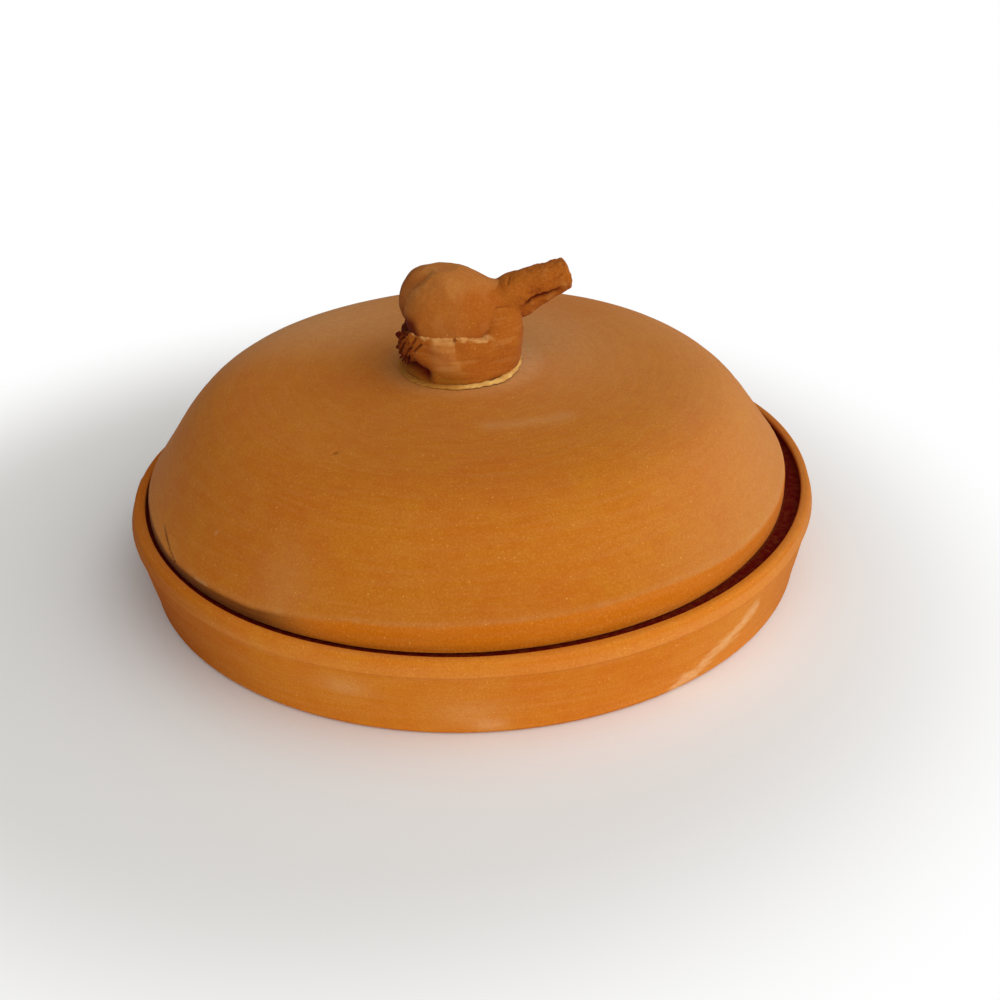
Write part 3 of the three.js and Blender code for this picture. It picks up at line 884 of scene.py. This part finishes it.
def model_base():
    """Base = wall from the foot to the ragged seam, leaning from the foot's radius to the bulb's reach plus a
    skin or to the flare, then a curve in to the bulb and a fillet up the stem; pressed in by slashes, the
    undercut and brush marks."""
    angle = round_angles(400, math.radians(-110), 0.35)
    degrees = (np.degrees(angle) + 180) % 360 - 180
    side = np.radians(np.abs(degrees))
    wide = smooth(-side, -1.0, -0.45)
    corner_full = smooth(-side, -0.65, -0.2)
    left = smooth(side, 2.45, 2.75)
    ring = np.stack([BASE_MAP * np.cos(angle), BASE_MAP * np.sin(angle)], -1)
    ragged = 0.24 * waves(ring, 4.0, 41) + 0.12 * waves(ring, 1.3, 42)
    notch = sum(depth * bump((degrees - turn) * 0.3, width) for turn, depth, width in SEAM_NOTCHES)
    lower = smooth(-side, -1.6, -1.05)
    seam = SEAM + (ragged - notch) * (1 - 0.8 * wide) - SEAM_FALLS[0] * left - SEAM_FALLS[1] * lower
    top = np.maximum(knob_reach(angle, SEAM - 0.3) + SEAM_SKIN, 15.2 + (STEM_FLARE - 15.2) * wide)
    foot = BASE_FOOT + 0.6 * wide
    rim = seam - 0.35 - FLARE_DIP * wide
    height = -0.4 + np.linspace(0, 1, 90)[:, None] * (rim + 0.4)
    level = np.clip(height / (SEAM - 1), 0, 1)
    wall = foot + (top - foot) * smooth(level, -0.1, 1.0) + 0.5 * np.sin(np.pi * level) ** 0.8
    wall = np.maximum(wall, knob_reach(angle + 0 * height, height) + 0.4)
    bend = np.linspace(0, 1, 26)[1:, None]
    raised = seam + 0.25 + FLARE_RISE * wide
    sunk = 2.2 * (1 - wide)
    inner = np.minimum(knob_reach(angle, raised, True), wall[-1] - 2.6) - sunk + 1.5 * wide
    corner_r = wall[-1] - 0.1 - 2.6 * wide * (1 - corner_full)
    corner_z = seam + 0.1 + (1.6 + 2.0 * corner_full) * wide
    curve_r = arch(bend, wall[-1], corner_r, inner)
    curve_z = arch(bend, height[-1], corner_z, raised)
    over = raised + FILLET_RISE * wide
    held = np.minimum(knob_reach(angle, over, True), wall[-1] - 2.6) - sunk - 0.3
    fillet_r = arch(bend, inner, inner - 1.3 * wide, held)
    fillet_z = arch(bend, raised, raised + 0.4 * wide, over)
    radius = np.concatenate([wall, curve_r, fillet_r])
    height = np.concatenate([height, curve_z, fillet_z])
    grid = round_knob(radius, angle, height)
    arc = np.radians(degrees) * BASE_MAP + 0 * height
    paths = [[(math.radians(a) * BASE_MAP, z) for a, z in path] for path in [UNDERCUT, *SLASHES]]
    into_cave = beside(arc, height, paths[0])
    cave = bump(into_cave, 1.9)
    cuts = sum(bump(beside(arc, height, path), 0.32) for path in paths[1:])
    brush = waves(np.stack([arc * 0.10, height], -1), 1.5, 43)
    ripple = degrees + 0.93 * height + 0.8 * waves(np.stack([arc, height], -1), 2.5, 46)
    facet = smooth(degrees, -124, -110) * smooth(-ripple, 80, 87)
    facet = facet * smooth(height, 3, 6) * smooth(-height, -13.5, -11)
    grid = press(grid, 2.3 * cave + 0.6 * cuts + 0.05 * brush + 0.14 * waves(grid, 6, 44) - 0.25 * facet)
    under = height - seam + 0.5 * waves(np.stack([arc, height], -1), 3, 45)
    crust = smooth(degrees, -120, -112) * smooth(-degrees, 93, 97)
    edge = smooth(under, -0.9, -0.1) + 0.8 * crust * smooth(under, -3.0, -1.0)
    edge = edge * smooth(seam - height, -0.7, -0.3) * smooth(-degrees, 46, 54) * smooth(degrees, -150, -134)
    low = smooth(-height, -5, -1)
    olive = smooth(-height, -7, -1) * smooth(-degrees, 70, 105) * (0.6 + 0.4 * smooth(brush, -0.5, 0.5))
    pale = edge + 0.26 * facet + 0.15 * smooth(brush, 0.2, 1.0) * (1 - low)
    # painted shade: darker in the undercut, in the slashes and on the left side above the foot, near the root
    dark = bump(into_cave, 2.4) + 0.8 * cuts + 0.9 * left * smooth(height, 4, 8)
    dark = dark + 0.12 * low * smooth(-brush, -0.3, 0.9)
    return skin(
        "knob_base_clay", grid, "lid", "knob_terracotta", "knob_base", pale=pale, dark=dark, warm=olive,
    )


base = model_base()

# %% [markdown]
# ## Root tuft
# Low at the left the potter pressed on a small button of clay and slashed it into strands. It is a low
# mound on the base's side, with uneven ridges that run from its upper right to its lower left.

# %% Root tuft
ROOT_RADIUS = 4.7
ROOT_PROUD = 1.9
ROOT_SUNK = 2.0
ROOT_HEIGHT = 9.4
ROOT_TURN = math.radians(208)
ROOT_SEAT = 17.5
STRAND_SLOPE = math.radians(54)  # of the strands, up to the right
STRAND_WIDTH = 1.35


def model_root():
    """Root tuft = mound round an axis that points out of the base, pressed in by grooves: seeded waves of the
    place across the strands, which hardly change along them."""
    profile = outline([
        (0.4, -ROOT_SUNK, 0, 6),
        (ROOT_RADIUS, -ROOT_SUNK, 0.5, 6),
        (ROOT_RADIUS, 0.1, 1.0, 10),
        (3.4, ROOT_PROUD, 1.6, 16),
        (0.3, ROOT_PROUD + 0.05, 0, 0),
    ])
    angle = round_angles(150)
    level, upright = profile[:, :1] * np.cos(angle), profile[:, :1] * np.sin(angle)
    stand = profile[:, 1:] + 0 * angle
    across = upright * math.cos(STRAND_SLOPE) - level * math.sin(STRAND_SLOPE)
    down = upright * math.sin(STRAND_SLOPE) + level * math.cos(STRAND_SLOPE)
    strands = waves(np.stack([across, 0.14 * down], -1), STRAND_WIDTH, 52)
    groove = smooth(strands, -0.3, 0.9) * smooth(stand, -0.8, 0.4)
    outward = np.array([math.cos(ROOT_TURN), math.sin(ROOT_TURN), 0])
    beside_it = np.array([-math.sin(ROOT_TURN), math.cos(ROOT_TURN), 0])
    seat = np.array([*knob_axis, crown + ROOT_HEIGHT]) + outward * ROOT_SEAT
    grid = (
        seat + stand[..., None] * outward + level[..., None] * beside_it
        + upright[..., None] * np.array([0, 0, 1.0])
    )
    grid = press(grid, 1.1 * groove + 0.15 * waves(grid, 2.5, 51))
    # painted shade: the tuft is dark all over, darkest in its grooves and on one side
    dark = 0.48 + 0.52 * np.maximum(groove, 0.6 * smooth(-level, -1.5, 2.0))
    return skin("root_tuft_clay", grid, "lid", "knob_terracotta", "root_tuft", pale=0.0, dark=dark)


root = model_root()

# %% [markdown]
# ## Slip
# Wet clay was brushed into the corner round the foot of the knob and dried as a pale ridge: thin and
# crisp at the right, with a painted shadow line under it, and smeared flat at the left. It is a small oval
# section carried round the foot, with a seeded width, height and place.

# %% Slip ring
SLIP_RADIUS = 17.5
SLIP_SIDE = math.radians(-42)  # direction in which the slip is crisp and pale


def brush_slip():
    """Slip = flattened ring: an oval section of uneven width and height carried round the foot."""
    angle = round_angles(300)
    turn = np.linspace(0, 2 * np.pi, 28, endpoint=False)[:, None]
    ring = np.stack([BASE_MAP * np.cos(angle), BASE_MAP * np.sin(angle)], -1)
    towards = np.cos(angle - SLIP_SIDE)
    crisp = smooth(towards, 0.0, 0.95)
    width = 1.5 - 0.5 * crisp + 0.14 * waves(ring, 7, 61)
    tall = (0.2 + 0.85 * crisp) * (1 + 0.12 * waves(ring, 4, 63))
    middle = SLIP_RADIUS + 0.6 * crisp - 0.6 * smooth(np.cos(angle), 0.6, 1.0) + 0.18 * waves(ring, 12, 64)
    radius = middle + width * np.cos(turn) + 0.16 * waves(ring, 2.6, 67) * (np.cos(turn) > 0)
    height = 0.15 * crisp - tall * np.sin(turn) * np.where(np.sin(turn) < 0, 1, 0.3)
    grid = round_knob(radius, angle, height)[::-1]
    grid = press(grid, 0.05 * waves(grid, 1.5, 65), loop=True)
    # painted shadow: a dark line at the foot of the crisp ridge, under its overhang
    painted_contact_shadow = bump(grid[..., 2] - crown - 0.05, 0.16) * smooth(np.cos(turn[::-1]), 0.3, 0.9) * crisp ** 2
    pale = (0.9 + 0.2 * waves(grid, 4, 66)) * smooth(towards, 0.45, 1.0)
    return skin(
        "brushed_slip", grid, "lid", "pale_slip", "slip_ring", loop=True, pale=pale, dark=0.9 * painted_contact_shadow,
    )


slip = brush_slip()

# %% [markdown]
# ## Fired clay
# All the pieces are the same unglazed clay. It is matte and sandy, with pale grains, slow changes of tone
# from the kiln, and fine rings from turning on the thrown pieces. Where a piece has cracks, dry slip or
# stains, and where shade, sheen and highlights are painted, its points carry marks named dark, pale and
# warm, which the finish turns into colour.

# %% Clay finish
GRAIN_CELLS = 760  # cells per metre, one possible pale grain in each


def clay(name, piece, tones, axis, rings, sheen=0.02):
    """Clay = two tones mixed by slow noise, with rings, sand, pale grains and the piece's own marks on top.
    Rings are noise on the distance from the axis and the height, which barely changes with direction."""
    finish = bpy.data.materials.new(name)
    finish.use_nodes = True
    tree = finish.node_tree
    shader = tree.nodes["Principled BSDF"]
    start = Wire(tree, None)
    place = start.node("ShaderNodeTexCoord", {}, {}, out=3)
    pale, dark, warm = [
        start.node("ShaderNodeAttribute", {"attribute_name": mark}, {}, out=2)
        for mark in ("pale", "dark", "warm")
    ]
    centred = place.vector("SUBTRACT", place, (axis[0] * MM, axis[1] * MM, 0))
    flat = centred.vector("MULTIPLY", centred, (1, 1, 0))
    away = flat.vector("LENGTH", flat, out=1)
    heading = flat.vector("NORMALIZE", flat)
    east, north = [start.node("ShaderNodeSeparateXYZ", {}, {0: heading}, out=k) * 0.006 for k in range(2)]
    high = start.node("ShaderNodeSeparateXYZ", {}, {0: place}, out=2)
    ring_spot = start.node("ShaderNodeCombineXYZ", {}, {0: away, 1: high, 2: east})
    turned = start.node(
        "ShaderNodeTexNoise", {"noise_dimensions": "4D"},
        {"Vector": ring_spot, "W": north, "Scale": 700, "Detail": 3.0, "Roughness": 0.65},
    )
    kiln = place.noise(26, 3.0, 0.6)
    cloud = place.noise(150, 4.0, 0.65)
    sand = place.noise(1900, 2.0, 0.6)
    grit = place.noise(620, 3.0, 0.7)
    cells, lucky = [
        start.node("ShaderNodeTexVoronoi", {}, {"Vector": place, "Scale": GRAIN_CELLS}, out=k)
        for k in range(2)
    ]
    chance = start.node("ShaderNodeSeparateColor", {}, {0: lucky})
    grain = (1 - cells.step(0.06, 0.24)) * chance.step(0.35, 0.75)
    slow = kiln.step(0.35, 0.68) * 0.5 + cloud.step(0.3, 0.7) * 0.5
    tone = start.node(
        "ShaderNodeMix", {"data_type": "RGBA"}, {0: slow, 6: tones["ground"], 7: tones["rich"]}, out=2,
    )
    tone = tone.towards(tones["warm"], warm * 0.8)
    tone = tone.towards(tones["pale"], turned.step(0.35, 0.75) * (0.11 * rings))
    tone = tone.towards(tones["rich"], (1 - sand.step(0.3, 0.6)) * 0.35)
    tone = tone.towards(tones["pale"], pale * (grit.step(0.25, 0.7) * 0.4 + 0.6))
    bright = grain * (chance.step(0.9, 0.96) * 0.4 + 0.42) + sand.step(0.52, 0.72) * 0.22
    tone = tone.towards(tones["grain"], bright)
    tone = tone.towards(tones["dark"], (1 - sand.step(0.28, 0.5)) * 0.08)
    tone = tone.towards(tones["dark"], dark * (grit.step(0.2, 0.6) * 0.12 + 0.88))
    rough = sand * 0.2 + 0.76 + pale * 0.06
    relief = turned * (0.35 * rings) + grit * 0.5 + sand * 0.35 + grain * 0.4
    bumped = start.node("ShaderNodeBump", {}, {"Strength": 0.3, "Distance": 0.0002, "Height": relief})
    tree.links.new(tone.socket, shader.inputs["Base Color"])
    tree.links.new(rough.socket, shader.inputs["Roughness"])
    tree.links.new(bumped.socket, shader.inputs["Normal"])
    shader.inputs["Specular IOR Level"].default_value = 0.04
    shader.inputs["Sheen Weight"].default_value = sheen
    shader.inputs["Sheen Roughness"].default_value = 0.5
    piece.data.materials.append(finish)
    print(name, "has", len(tree.nodes), "nodes")


def palette(**colours):
    """Linear tones of the clay from display colours."""
    return {tone: shade(*colour) for tone, colour in colours.items()}


# the dish's warm tone is its painted shade on the left, and its dark tone mostly the painted shade in the
# gallery
dish_tones = palette(
    ground=(200, 121, 30), rich=(196, 106, 24), warm=(140, 58, 4), pale=(218, 162, 104), grain=(218, 154, 72),
    dark=(84, 5, 3),
)
# the lid's dark tone is painted shade in the gouge, the pit and under the hanging flank
lid_tones = palette(
    ground=(183, 110, 23), rich=(178, 95, 19), warm=(196, 103, 2), pale=(196, 144, 92), grain=(212, 148, 66),
    dark=(58, 8, 3),
)
# the knob's dark tone is mostly painted shade: valleys, root, creases, cuts, undercut and tuft
knob_tones = palette(
    ground=(160, 90, 25), rich=(154, 79, 20), warm=(142, 92, 20), pale=(202, 146, 82), grain=(194, 132, 62),
    dark=(80, 6, 3),
)
slip_tones = palette(
    ground=(178, 118, 44), rich=(170, 108, 36), warm=(170, 108, 36), pale=(216, 172, 98),
    grain=(206, 156, 88), dark=(50, 10, 4),
)
clay("dish_clay", dish, dish_tones, (0, 0), 1.0, 0.0)
clay("lid_clay", lid, lid_tones, lid_axis, 1.0, 0.04)
for lump_name, lump in (("bulb_clay", bulb), ("stem_clay", stem), ("base_clay", base), ("root_clay", root)):
    clay(lump_name, lump, knob_tones, knob_axis, 0.0)
clay("slip_clay", slip, slip_tones, knob_axis, 0.0)
